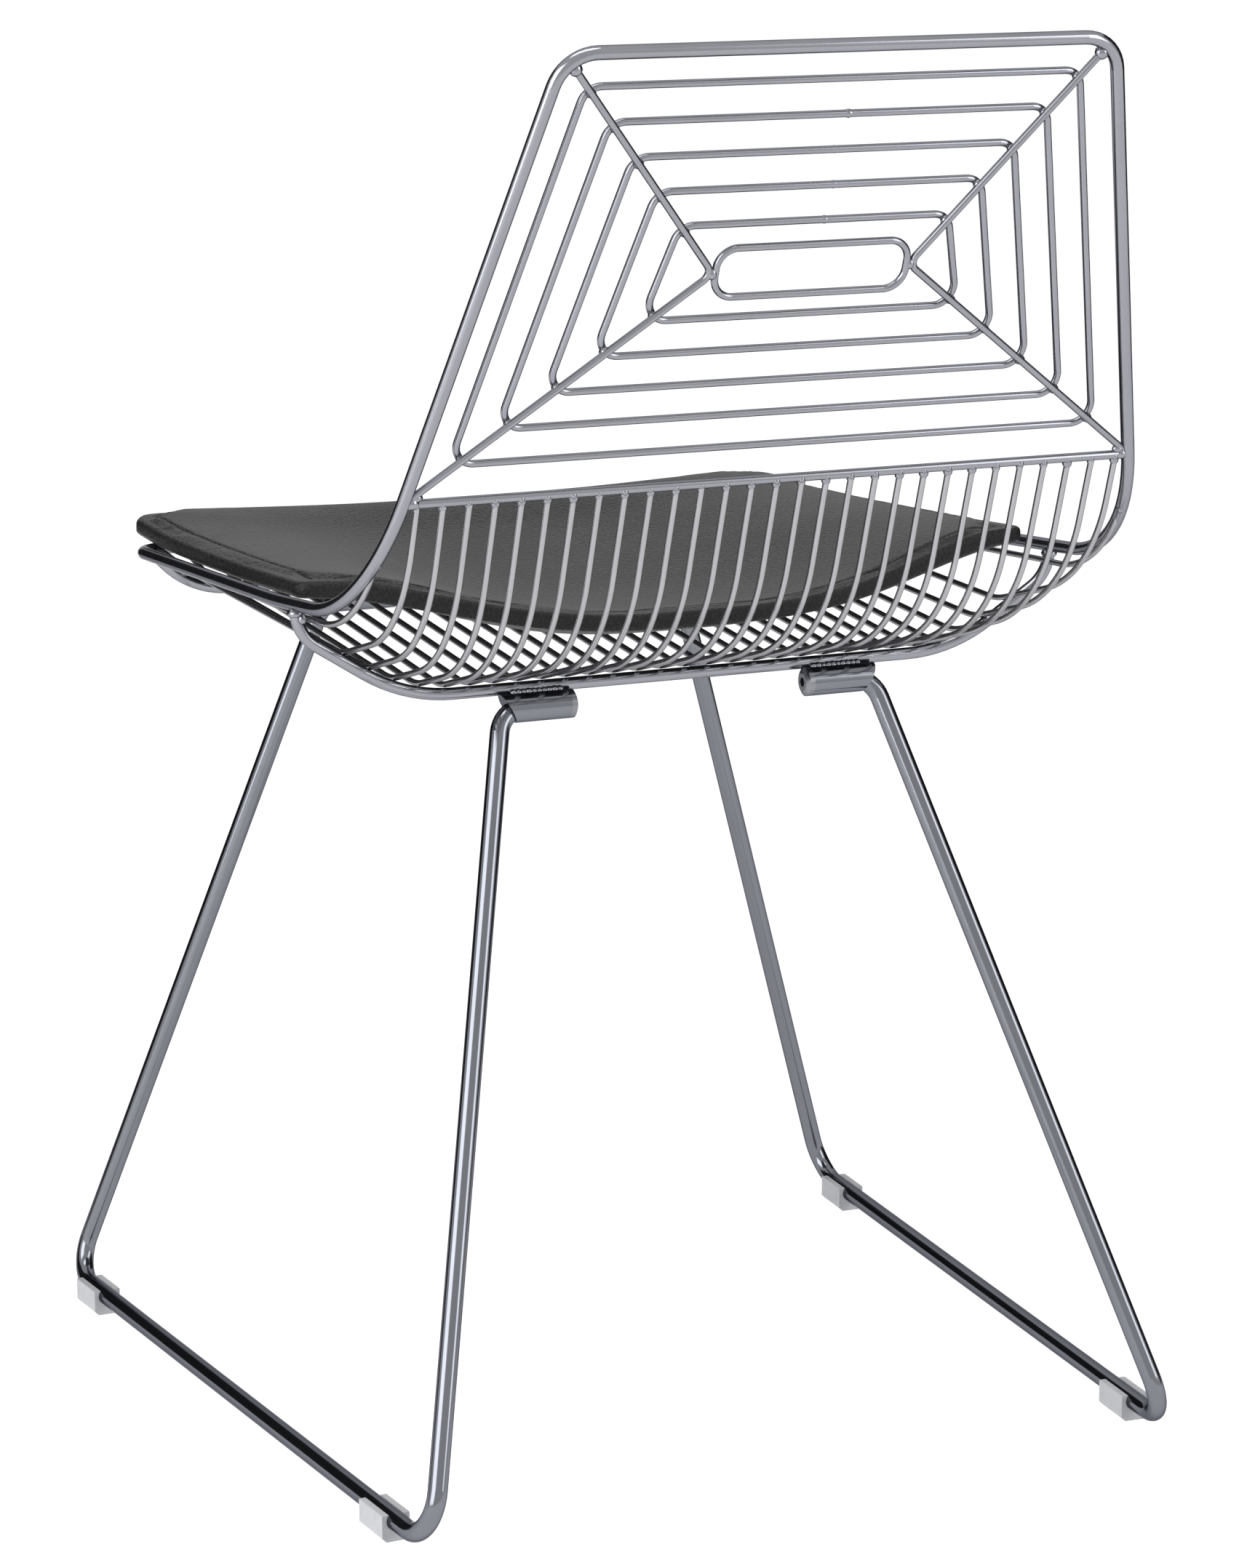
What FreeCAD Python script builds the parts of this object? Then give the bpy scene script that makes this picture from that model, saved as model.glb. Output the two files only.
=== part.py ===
import FreeCAD
import Part
import Sketcher
import math
import os
from FreeCAD import Placement, Rotation, Vector

# Wire mesh dining chair: a bent rod shell on two sled leg frames, with a loose seat pad.
# X runs across the chair (the sitter's left is +X), the sitter faces -Y and +Z is up.
# The origin is on the floor, below the middle of the chair.

DIMENSIONS = [
    # Rods
    ("frame_rod", 7.5),
    ("rail_rod", 7.0),
    ("leg_rod", 11.0),
    ("belt_rod", 5.0),
    ("web_rod", 4.0),
    ("seat_rod", 3.5),
    # Backrest
    ("belt_height", 564.5),
    ("belt_back", 190.9),
    ("back_recline", 18.5),
    ("back_length", 247.7),
    ("back_top_half", 156.9),
    ("back_flare", 13.24),
    ("top_bend", 23.0),
    # Seat rim
    ("rim_corner_height", 501.5),
    ("rim_bend", 106.0),
    ("rim_waist_half", 232.6),
    ("rim_waist_back", 47.5),
    ("rim_waist_height", 491.2),
    ("rim_waist_bend", 600.0),
    ("rim_front_half", 218.0),
    ("rim_front_reach", 248.5),
    ("rim_front_height", 471.0),
    ("rim_front_bend", 26.0),
    # Cross rails under the seat
    ("rear_rail_back", 73.1),
    ("rear_rail_height", 436.5),
    ("rear_rail_flat", 169.0),
    ("rear_shoulder_drop", 16.35565),
    ("rear_rail_bend", 98.0),
    ("rear_rail_tip_bend", 24.0),
    ("front_rail_reach", 194.5),
    ("front_rail_height", 454.0),
    ("front_rail_flat", 200.0),
    ("front_rail_bend", 56.0),
    # Backrest web
    ("web_loops", 5),
    ("web_top_pitch", 19.75),
    ("web_low_first", 19.3),
    ("web_low_pitch", 19.1),
    ("web_bend", 11.0),
    ("web_vertex_half", 57.0),
    ("web_vertex_rise", 123.0),
    ("web_vertex_bend", 6.0),
    ("eye_half_height", 13.9),
    ("eye_bend", 11.5),
    # Seat wires
    ("wire_pitch", 14.8),
    ("wires_each_side", 14),
    ("wire_back_bend", 95.0),
    ("wire_seat_bend", 65.0),
    ("wire_rear_slope", 15.5),
    ("wire_low_back", 65.0),
    ("wire_narrowing_ratio", 0.98),
    ("rim_wire_top_run", 35.5),
    ("rim_wire_lead", 8.2),
    ("rim_wire_heel_run", 73.4),
    ("rim_wire_bend", 92.0),
    ("rim_wire_rear_inset", 6.1),
    ("rim_wire_rear_drop", 7.9),
    ("rim_wire_front_inset", 10.7),
    ("rim_wire_front_drop", 3.1),
    # Leg frames
    ("socket_bore_gap", 0.1),
    ("socket_tube", 16.5),
    ("socket_inner_half", 75.0),
    ("socket_slant", 9.0),
    ("rear_socket_shift", 6.3),
    ("rear_leg_top_half", 114.5),
    ("front_leg_top_half", 116.5),
    ("leg_end_gap", 1.0),
    ("leg_top_bend", 17.0),
    ("leg_foot_bend", 21.2),
    ("foot_front_half", 259.5),
    ("foot_front_reach", 271.9),
    ("foot_rear_half", 226.0),
    ("foot_rear_back", 246.8),
    ("runner_height", 11.9),
    # Cap screws
    ("screw_head", 16.5),
    ("screw_head_depth", 4.5),
    ("screw_head_bevel", 1.6),
    ("screw_hex", 5.0),
    ("screw_hex_depth", 3.0),
    ("screw_thread", 6.0),
    ("screw_thread_length", 16.0),
    ("screw_hole_gap", 0.1),
    # Glides
    ("glide_length", 30.0),
    ("glide_width", 16.5),
    ("glide_rise", 15.5),
    ("glide_bevel", 2.5),
    ("glide_grip_gap", 0.1),
    ("glide_front_reach", 234.5),
    ("glide_rear_back", 185.5),
    # Seat pad
    ("pad_rear_back", 93.5),
    ("pad_rear_flat", 95.0),
    ("pad_rear_side_back", 57.0),
    ("pad_rear_half", 226.0),
    ("pad_front_half", 215.5),
    ("pad_front_reach", 272.5),
    ("pad_rear_bend", 180.0),
    ("pad_rear_corner", 10.0),
    ("pad_front_corner", 24.0),
    ("pad_edge", 9.6),
    ("pad_crown", 2.9),
    ("pad_crown_run", 70.0),
    ("pad_skin", 1.2),
    ("pad_thigh_reach", 90.5),
    ("pad_hollow_reach", 12.5),
    ("pad_rear_hollow_back", 48.5),
    ("pad_side_middle_reach", 52.5),
    ("pad_front_lip", 472.0),
    ("pad_over_rail_gap", 0.45),
    ("pad_behind_rail", 464.8),
    ("pad_front_thigh", 456.0),
    ("pad_hollow", 453.0),
    ("pad_rear_hollow", 457.0),
    ("pad_rear_edge", 466.8),
    ("pad_side_front", 479.4),
    ("pad_side_middle", 485.4),
    ("pad_side_thigh", 479.0),
    ("pad_side_rear", 492.8),
    ("pad_side_end", 494.0),
]

doc = FreeCAD.newDocument("MeshChair")
sheet = doc.addObject("Spreadsheet::Sheet", "Sizes")
for row, (alias, value) in enumerate(DIMENSIONS, start=1):
    sheet.set("A%d" % row, alias.replace("_", " "))
    sheet.set("B%d" % row, str(value))
    sheet.setAlias("B%d" % row, alias)
doc.recompute()

nodes = {}


def size(alias):
    return float(sheet.get(alias))


def count(alias):
    return int(round(size(alias)))


def radians(alias):
    return math.radians(size(alias))


# Bent rods

def bent_path(points, bends):
    """Straight runs through the points, with a tangent arc at each inner point."""
    edges = []
    start = points[0]
    for before, corner, after, bend in zip(points, points[1:], points[2:], bends):
        back = (before - corner).normalize()
        ahead = (after - corner).normalize()
        half_angle = back.getAngle(ahead) / 2
        room = 0.98 * min((before - corner).Length, (after - corner).Length)
        tangent = min(bend / math.tan(half_angle), room)
        middle = (back + ahead).normalize()
        reach = tangent / math.cos(half_angle) - tangent * math.tan(half_angle)
        enter = corner + back * tangent
        leave = corner + ahead * tangent
        if (enter - start).Length > 1e-4:
            edges.append(Part.LineSegment(start, enter).toShape())
        edges.append(Part.Arc(enter, corner + middle * reach, leave).toShape())
        start = leave
    if (points[-1] - start).Length > 1e-4:
        edges.append(Part.LineSegment(start, points[-1]).toShape())
    return Part.Wire(edges)


def sweep(points, bends, diameter):
    path = bent_path(points, bends)
    circle = Part.Circle(points[0], points[1] - points[0], diameter / 2)
    profile = Part.Wire([circle.toShape()])
    return path.makePipeShell([profile], True, False)


def mirrored(shape):
    return shape.mirror(Vector(0, 0, 0), Vector(1, 0, 0))


def joined(first, second):
    return first.fuse(second).removeSplitter()


def flipped(points):
    return [Vector(-point.x, point.y, point.z) for point in points]


def add_feature(label, shape):
    """A swept or lofted piece; its shape is one solid or a group of them."""
    feature = doc.addObject("Part::Feature", label)
    if len(shape.Solids) == 1:
        shape = shape.Solids[0]
    feature.Shape = shape
    feature.Placement = Placement()
    feature.Label = label
    nodes[label] = feature
    return feature


def add_body(label):
    body = doc.addObject("PartDesign::Body", label)
    body.Label = label
    nodes[label] = body
    return body


def origin_plane(body, role):
    return next(item for item in body.Origin.OriginFeatures if item.Role == role)


def add_sketch(body, name, role, offset=None):
    sketch = body.newObject("Sketcher::SketchObject", body.Label + "_" + name)
    sketch.AttachmentSupport = (origin_plane(body, role), [""])
    sketch.MapMode = "FlatFace"
    if offset:
        sketch.setExpression("AttachmentOffset.Base.z", offset)
    return sketch


def place(body, x="0", y="0", z="0", tilt=None):
    """Tie a body's place, and its turn about the X axis, to the sheet."""
    body.setExpression("Placement.Base.x", x)
    body.setExpression("Placement.Base.y", y)
    body.setExpression("Placement.Base.z", z)
    if tilt:
        body.Placement = Placement(Vector(), Rotation(Vector(1, 0, 0), sheet.evalExpression(tilt)))
        body.setExpression("Placement.Rotation.Angle", tilt)


def pin(sketch, kind, geometry, point, expression):
    """Hold one coordinate of a sketch point at a sheet expression."""
    value = float(sheet.evalExpression(expression))
    constraint = Sketcher.Constraint(kind, -1, 1, geometry, point, value)
    sketch.setExpression("Constraints[%d]" % sketch.addConstraint(constraint), expression)


def add_circle(sketch, x, y, radius):
    centre = Vector(sheet.evalExpression(x), sheet.evalExpression(y), 0)
    circle = sketch.addGeometry(Part.Circle(centre, Vector(0, 0, 1), sheet.evalExpression(radius)))
    limit = sketch.addConstraint(Sketcher.Constraint("Radius", circle, sheet.evalExpression(radius)))
    sketch.setExpression("Constraints[%d]" % limit, radius)
    pin(sketch, "DistanceX", circle, 3, x)
    pin(sketch, "DistanceY", circle, 3, y)


def add_outline(sketch, corners):
    """A closed outline of straight sides through corners given as pairs of expressions."""
    points = [Vector(sheet.evalExpression(x), sheet.evalExpression(y), 0) for x, y in corners]
    sides = []
    for start, end in zip(points, points[1:] + points[:1]):
        sides.append(sketch.addGeometry(Part.LineSegment(start, end)))
    for side, following in zip(sides, sides[1:] + sides[:1]):
        sketch.addConstraint(Sketcher.Constraint("Coincident", side, 2, following, 1))
    for side, (x, y) in zip(sides, corners):
        pin(sketch, "DistanceX", side, 1, x)
        pin(sketch, "DistanceY", side, 1, y)


def add_bent_line(sketch, corners, bends):
    """An open path: its corners are pinned on a construction line, and arcs round them."""
    points = [Vector(sheet.evalExpression(x), sheet.evalExpression(y), 0) for x, y in corners]
    radii = [float(sheet.evalExpression(bend)) for bend in bends]
    guides = []
    for start, end in zip(points, points[1:]):
        guide = sketch.addGeometry(Part.LineSegment(start, end), True)
        guides.append(guide)
    for guide, following in zip(guides, guides[1:]):
        sketch.addConstraint(Sketcher.Constraint("Coincident", guide, 2, following, 1))
    for guide, (x, y) in zip(guides, corners):
        pin(sketch, "DistanceX", guide, 1, x)
        pin(sketch, "DistanceY", guide, 1, y)
    pin(sketch, "DistanceX", guides[-1], 2, corners[-1][0])
    pin(sketch, "DistanceY", guides[-1], 2, corners[-1][1])
    pieces = [sketch.addGeometry(edge.Curve.trim(*edge.ParameterRange))
              for edge in bent_path(points, radii).Edges]
    runs = pieces[0::2]
    arcs = pieces[1::2]
    for before, after, guide, following in zip(runs, runs[1:], guides, guides[1:]):
        sketch.addConstraint(Sketcher.Constraint("PointOnObject", before, 2, guide))
        sketch.addConstraint(Sketcher.Constraint("PointOnObject", after, 1, following))
    sketch.addConstraint(Sketcher.Constraint("Coincident", runs[0], 1, guides[0], 1))
    sketch.addConstraint(Sketcher.Constraint("Coincident", runs[-1], 2, guides[-1], 2))
    for number, (arc, bend) in enumerate(zip(arcs, bends)):
        ends = arc_ends(sketch, arc, runs[number])
        sketch.addConstraint(Sketcher.Constraint("Tangent", runs[number], 2, arc, ends[0]))
        sketch.addConstraint(Sketcher.Constraint("Tangent", arc, ends[1], runs[number + 1], 1))
        limit = sketch.addConstraint(Sketcher.Constraint("Radius", arc, radii[number]))
        sketch.setExpression("Constraints[%d]" % limit, bend)


def arc_ends(sketch, arc, run):
    """Which end of the arc meets the run before it, and which end leads on."""
    meeting = sketch.getPoint(run, 2)
    if (sketch.getPoint(arc, 1) - meeting).Length < 1e-4:
        return 1, 2
    return 2, 1


def symmetric_rod(label, lift, corners, bends, rod):
    """A flat bent rod: half of it is piped from the middle plane, then mirrored."""
    body = add_body(label)
    path = add_sketch(body, "path", "XY_Plane", lift)
    add_bent_line(path, corners, bends)
    section = add_sketch(body, "section", "YZ_Plane")
    add_circle(section, corners[0][1], lift, rod + " / 2")
    pipe = body.newObject("PartDesign::AdditivePipe", label + "_pipe")
    pipe.Profile = section
    pipe.Spine = (path, ["Edge%d" % (edge + 1) for edge in range(2 * len(bends) + 1)])
    mirror = body.newObject("PartDesign::Mirrored", label + "_mirror")
    mirror.Originals = [pipe]
    mirror.MirrorPlane = (origin_plane(body, "YZ_Plane"), [""])
    body.Tip = mirror
    return body


def coped(label, blank, tools):
    """A rod whose ends are shaped to the rods that they are welded to."""
    shape = blank
    for tool in tools:
        shape = shape.cut(tool)
    largest = max(shape.Solids, key=lambda solid: solid.Volume)
    return add_feature(label, largest)


# Main frame: one rod, bent to the backrest and the seat rim

recline = radians("back_recline")
flare = radians("back_flare")
back_up = Vector(0, math.sin(recline), math.cos(recline))
belt_centre = Vector(0, size("belt_back"), size("belt_height"))
belt_half = size("back_top_half") + size("back_length") * math.tan(radians("back_flare"))


def on_back(x, rise, lift=0.0):
    """A point of the backrest plane; lift is the distance in front of that plane."""
    front = Vector(0, -math.cos(recline), math.sin(recline))
    return belt_centre + Vector(x, 0, 0) + back_up * rise + front * lift


back_top = on_back(size("back_top_half"), size("back_length"))
rim_rise = (size("rim_corner_height") - size("belt_height")) / math.cos(recline)
rim_corner = on_back(belt_half - rim_rise * math.tan(flare), rim_rise)
rim_waist = Vector(size("rim_waist_half"), size("rim_waist_back"), size("rim_waist_height"))
rim_front = Vector(size("rim_front_half"), -size("rim_front_reach"), size("rim_front_height"))


def half_frame():
    points = [Vector(0, rim_front.y, rim_front.z), rim_front, rim_waist, rim_corner,
              back_top, Vector(0, back_top.y, back_top.z)]
    bends = [size(name) for name in ("rim_front_bend", "rim_waist_bend", "rim_bend", "top_bend")]
    return sweep(points, bends, size("frame_rod"))


right_half = half_frame()
main_frame = add_feature("main_frame", joined(right_half, mirrored(right_half))).Shape


def rim_at(y):
    """Centre of the seat rim beside a station along the chair."""
    start, end = (rim_corner, rim_waist) if y > rim_waist.y else (rim_waist, rim_front)
    share = (y - start.y) / (end.y - start.y)
    return start + (end - start) * share


# Belt bar across the foot of the backrest

belt_blank = Part.makeCylinder(size("belt_rod") / 2, 2 * belt_half,
                               belt_centre - Vector(belt_half, 0, 0), Vector(1, 0, 0))
belt_bar = coped("belt_bar", belt_blank, [main_frame]).Shape

# Cross rails: the seat wires lie on them, and the leg sockets are welded under them

rear_y = size("rear_rail_back")
front_y = -size("front_rail_reach")
rear_rim = rim_at(rear_y)
front_rim = rim_at(front_y)


def rear_rail_points():
    lower = Vector(size("rear_rail_flat"), rear_y, size("rear_rail_height"))
    shoulder = Vector(rear_rim.x, rear_y, rear_rim.z - size("rear_shoulder_drop"))
    return [lower, shoulder, rear_rim], ["rear_rail_bend", "rear_rail_tip_bend"]


def front_rail_points():
    lower = Vector(size("front_rail_flat"), front_y, size("front_rail_height"))
    return [lower, front_rim], ["front_rail_bend"]


def rail_path(upper_points, bends):
    middle = Vector(0, upper_points[0].y, upper_points[0].z)
    return [middle] + upper_points, [size(name) for name in bends]


def cross_rail(label, rail):
    points, bends = rail_path(*rail)
    half = sweep(points, bends, size("rail_rod"))
    return coped(label, joined(half, mirrored(half)), [main_frame])


rear_rail = cross_rail("rear_seat_rail", rear_rail_points())
front_rail = cross_rail("front_seat_rail", front_rail_points())


def rail_centre_at(rail, x):
    """Height and slope of a cross rail's centre line at a distance from the middle."""
    points, bends = rail_path(*rail)
    path = bent_path(points, bends)
    foot = Vector(abs(x), points[0].y, 0)
    plumb = Part.LineSegment(foot, foot + Vector(0, 0, rim_corner.z)).toShape()
    distance, pairs, _ = path.distToShape(plumb)
    point = pairs[0][0]
    for edge in path.Edges:
        if edge.distToShape(Part.Vertex(point))[0] < 1e-4:
            tangent = edge.tangentAt(edge.Curve.parameter(point))
    return point.z, math.atan2(abs(tangent.z), abs(tangent.x))


# Backrest web: closed loops in front of two bent braces, with a small eye between them

def web_body(label, lift, corners, bends):
    """A closed loop of web rod in the backrest plane, lifted off it to the front."""
    body = symmetric_rod(label, lift, corners, bends, "Sizes.web_rod")
    place(body, "0", "Sizes.belt_back", "Sizes.belt_height", "90 - Sizes.back_recline")
    return body


for number in range(1, count("web_loops") + 1):
    top = "Sizes.back_length - %d * Sizes.web_top_pitch" % number
    low = "(Sizes.web_low_first + %d * Sizes.web_low_pitch)" % (number - 1)
    below = "(1 - %s / Sizes.web_vertex_rise)" % low
    top_half = ("Sizes.web_vertex_half + (Sizes.back_top_half - Sizes.web_vertex_half)"
                " * (%s - Sizes.web_vertex_rise)"
                " / (Sizes.back_length - Sizes.web_vertex_rise)" % top)
    low_half = ("Sizes.web_vertex_half + (Sizes.back_top_half + Sizes.back_length"
                " * tan(Sizes.back_flare) - Sizes.web_vertex_half) * " + below)
    corners = [("0", top), (top_half, top), (low_half, low), ("0", low)]
    web_body("web_loop_%d" % number, "Sizes.web_rod", corners, ["Sizes.web_bend"] * 2)

upper_arm = ("atan((Sizes.back_length - Sizes.web_vertex_rise)"
             " / (Sizes.back_top_half - Sizes.web_vertex_half))")
lower_arm = ("atan(Sizes.web_vertex_rise / (Sizes.back_top_half"
             " + Sizes.back_length * tan(Sizes.back_flare) - Sizes.web_vertex_half))")
eye_half = ("Sizes.web_vertex_half - Sizes.web_rod + Sizes.web_vertex_bend"
            " * (1 / sin((%s + %s) / 2) - 1)" % (upper_arm, lower_arm))
eye_top = "Sizes.web_vertex_rise + Sizes.eye_half_height"
eye_low = "Sizes.web_vertex_rise - Sizes.eye_half_height"
web_body("web_eye_loop", "0", [("0", eye_top), (eye_half, eye_top), (eye_half, eye_low),
                               ("0", eye_low)], ["Sizes.eye_bend"] * 2)

brace_points = [on_back(size("back_top_half"), size("back_length")),
                on_back(size("web_vertex_half"), size("web_vertex_rise")),
                on_back(belt_half, 0)]
for side, points in (("left", brace_points), ("right", flipped(brace_points))):
    brace = sweep(points, [size("web_vertex_bend")], size("web_rod"))
    coped("back_brace_" + side, brace, [main_frame, belt_bar])


# Seat wires: from the belt bar down to the seat and forward over both cross rails

def wire_height(rail, x, wire_slope):
    """Height of a wire's centre where it lies on a cross rail."""
    rail_z, rail_slope = rail_centre_at(rail, x)
    reach = (size("rail_rod") + size("seat_rod")) / 2
    spread = math.hypot(math.sin(rail_slope) * math.cos(wire_slope), math.cos(rail_slope))
    return rail_z + reach * spread / (math.cos(rail_slope) * math.cos(wire_slope))


def seat_wire(label, top):
    """One wire; top is its upper end, and it lies a little nearer the middle on the rails."""
    slope = radians("wire_rear_slope")
    seat_x = top.x * size("wire_narrowing_ratio")
    low = Vector(seat_x, size("wire_low_back"), 0)
    low.z = wire_height(rear_rail_points(), seat_x, slope) - (rear_y - low.y) * math.tan(slope)
    above = top.z - low.z - (top.y - low.y) * math.tan(slope)
    fall = above / (math.cos(recline) - math.sin(recline) * math.tan(slope))
    heel = top - back_up * fall
    front_z = wire_height(front_rail_points(), seat_x, 0)
    front_slope = math.atan2(front_z - low.z, low.y - front_y)
    over_front_rail = Vector(seat_x, front_y, wire_height(front_rail_points(), seat_x, front_slope))
    front_end = Vector(seat_x, rim_front.y, rim_front.z)
    bends = [size("wire_back_bend"), size("wire_seat_bend"), size("wire_seat_bend")]
    blank = sweep([top, heel, low, over_front_rail, front_end], bends, size("seat_rod"))
    coped(label, blank, [belt_bar, main_frame])


for number in range(-count("wires_each_side"), count("wires_each_side") + 1):
    wire_x = number * size("wire_pitch")
    name = "seat_wire_%02d" % (number + count("wires_each_side") + 1)
    seat_wire(name, belt_centre + Vector(wire_x, 0, 0))

# Rim wires: from the uprights of the frame, along the inside of the seat rim, to its front

upright = (back_top - rim_corner).normalize()
rim_wire_top = rim_corner + upright * size("rim_wire_top_run") - Vector(0, size("rim_wire_lead"), 0)
over_rear = rear_rim - Vector(size("rim_wire_rear_inset"), 0, size("rim_wire_rear_drop"))
over_front = front_rim - Vector(size("rim_wire_front_inset"), 0, size("rim_wire_front_drop"))
along = (over_rear - over_front) * (1 / (over_rear.y - over_front.y))
rim_wire_heel = over_rear + along * size("rim_wire_heel_run")
rim_wire_heel.x = (rim_wire_top.x + over_rear.x) / 2
rim_wire_end = over_front + along * (rim_front.y - over_front.y)
rim_wire_end.z = rim_front.z
rim_wire_points = [rim_wire_top, rim_wire_heel, over_rear, over_front, rim_wire_end]
rim_wire_bends = [size("rim_wire_bend"), size("wire_seat_bend"), size("wire_seat_bend")]
for side, points in (("left", rim_wire_points), ("right", flipped(rim_wire_points))):
    blank = sweep(points, rim_wire_bends, size("seat_rod"))
    coped("rim_wire_" + side, blank, [main_frame, rear_rail.Shape, front_rail.Shape])


# Leg frames: each one rod from the rear socket, down, along the floor and up to the front

def leg_path():
    rear_drop = math.sqrt(((size("rail_rod") + size("socket_tube")) / 2) ** 2
                          - size("rear_socket_shift") ** 2)
    rear = Vector(0, rear_y + size("rear_socket_shift"), size("rear_rail_height") - rear_drop)
    front = Vector(0, front_y, size("front_rail_height")
                   - (size("rail_rod") + size("socket_tube")) / 2)
    inner = Vector(size("socket_inner_half") + size("leg_end_gap"), 0, 0)
    points = [rear + inner,
              rear + Vector(size("rear_leg_top_half"), 0, 0),
              Vector(size("foot_rear_half"), size("foot_rear_back"), size("runner_height")),
              Vector(size("foot_front_half"), -size("foot_front_reach"), size("runner_height")),
              front + Vector(size("front_leg_top_half"), 0, 0),
              front + inner]
    bends = [size(name) for name in
             ("leg_top_bend", "leg_foot_bend", "leg_foot_bend", "leg_top_bend")]
    return points, bends


leg_points, leg_bends = leg_path()
screw_reach = Vector(size("screw_thread_length") + size("leg_end_gap"), 0, 0)


def leg_frame(label, sign):
    points = leg_points if sign > 0 else flipped(leg_points)
    rod = sweep(points, leg_bends, size("leg_rod"))
    for end in (points[0], points[-1]):
        hole = size("screw_thread") / 2 + size("screw_hole_gap")
        rod = rod.cut(Part.makeCylinder(hole, screw_reach.x, end, Vector(sign, 0, 0)))
    add_feature(label, rod)


leg_frame("leg_frame_left", 1)
leg_frame("leg_frame_right", -1)


# Leg sockets: short tubes welded under the cross rails, cut on a slant where the leg drops out

def leg_socket(label, sign, path, axis_back, axis_height, outer_half):
    body = add_body(label + "_blank")
    tube = add_sketch(body, "tube", "YZ_Plane", "Sizes.socket_inner_half")
    add_circle(tube, "0", "0", "Sizes.socket_tube / 2")
    pad = body.newObject("PartDesign::Pad", label + "_pad")
    pad.Profile = tube
    pad.setExpression("Length", outer_half + " + 2 - Sizes.socket_inner_half")
    slant = add_sketch(body, "slant", "XZ_Plane")
    wide = "Sizes.socket_tube / 2 + 2"
    past = outer_half + " + 4"
    add_outline(slant, [(outer_half + " + 2", wide), (past, wide), (past, "-(%s)" % wide),
                        (outer_half + " - Sizes.socket_slant", "-(%s)" % wide)])
    cut = body.newObject("PartDesign::Pocket", label + "_end")
    cut.Profile = slant
    cut.Type = "ThroughAll"
    cut.Midplane = True
    place(body, "0", axis_back, axis_height)
    if sign < 0:
        body.Placement = Placement(Vector(), Rotation(Vector(0, 0, 1), 180))
    doc.recompute()
    start = path[0] - Vector(sign * 2 * size("screw_head_depth"), 0, 0)
    bore = doc.addObject("Part::Feature", label + "_bore")
    bore.Shape = sweep([start] + path[1:], [size("leg_top_bend")],
                       size("leg_rod") + 2 * size("socket_bore_gap"))
    socket = doc.addObject("Part::Cut", label)
    socket.Base = body
    socket.Tool = bore
    socket.Label = label
    del nodes[body.Label]
    nodes[label] = socket


rear_axis_back = "Sizes.rear_rail_back + Sizes.rear_socket_shift"
rear_axis_height = ("Sizes.rear_rail_height - sqrt(((Sizes.rail_rod + Sizes.socket_tube) / 2) ^ 2"
                    " - Sizes.rear_socket_shift ^ 2)")
front_axis_height = "Sizes.front_rail_height - (Sizes.rail_rod + Sizes.socket_tube) / 2"
for side, sign, run in (("left", 1, leg_points), ("right", -1, flipped(leg_points))):
    leg_socket("leg_socket_rear_" + side, sign, run[:3], rear_axis_back, rear_axis_height,
               "Sizes.rear_leg_top_half")
    leg_socket("leg_socket_front_" + side, sign, run[:2:-1], "-Sizes.front_rail_reach",
               front_axis_height, "Sizes.front_leg_top_half")


# Cap screws: domed heads that close the sockets, threaded into the ends of the leg rods

screw = add_body("cap_screw")
del nodes["cap_screw"]
outline = add_sketch(screw, "outline", "XZ_Plane")
head = "Sizes.screw_head / 2"
depth = "-Sizes.screw_head_depth"
bevel = "Sizes.screw_head_bevel"
thread = "Sizes.screw_thread / 2"
add_outline(outline, [(depth, "0"), (depth, head + " - 2 * " + bevel),
                      (depth + " + 0.4 * " + bevel, head + " - " + bevel),
                      (depth + " + " + bevel, head), ("0", head), ("0", thread),
                      ("Sizes.screw_thread_length", thread), ("Sizes.screw_thread_length", "0")])
turned = screw.newObject("PartDesign::Revolution", "cap_screw_turned")
turned.Profile = outline
turned.ReferenceAxis = (outline, ["H_Axis"])
turned.Angle = 360
recess = add_sketch(screw, "recess", "YZ_Plane", depth)
corners = []
for step in range(6):
    radius = "Sizes.screw_hex / 2 / cos(30)"
    corners.append(("%s * cos(%d)" % (radius, 60 * step), "%s * sin(%d)" % (radius, 60 * step)))
add_outline(recess, corners)
socket_cut = screw.newObject("PartDesign::Pocket", "cap_screw_recess")
socket_cut.Profile = recess
socket_cut.setExpression("Length", "Sizes.screw_hex_depth")
socket_cut.Reversed = True
doc.recompute()

screws = []
for end in (leg_points[0], leg_points[-1]):
    seat = Vector(size("socket_inner_half"), end.y, end.z)
    one = screw.Shape.copy()
    one.translate(seat)
    screws += [one.Solids[0], mirrored(one).Solids[0]]
add_feature("socket_cap_screws", Part.makeCompound(screws))


# Glides: plastic clips that snap under the runners

runner_turn = ("atan((Sizes.foot_front_half - Sizes.foot_rear_half)"
               " / (Sizes.foot_front_reach + Sizes.foot_rear_back))")
runner_lean = ("(Sizes.foot_front_half - Sizes.foot_rear_half)"
               " / (Sizes.foot_front_reach + Sizes.foot_rear_back)")


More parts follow.
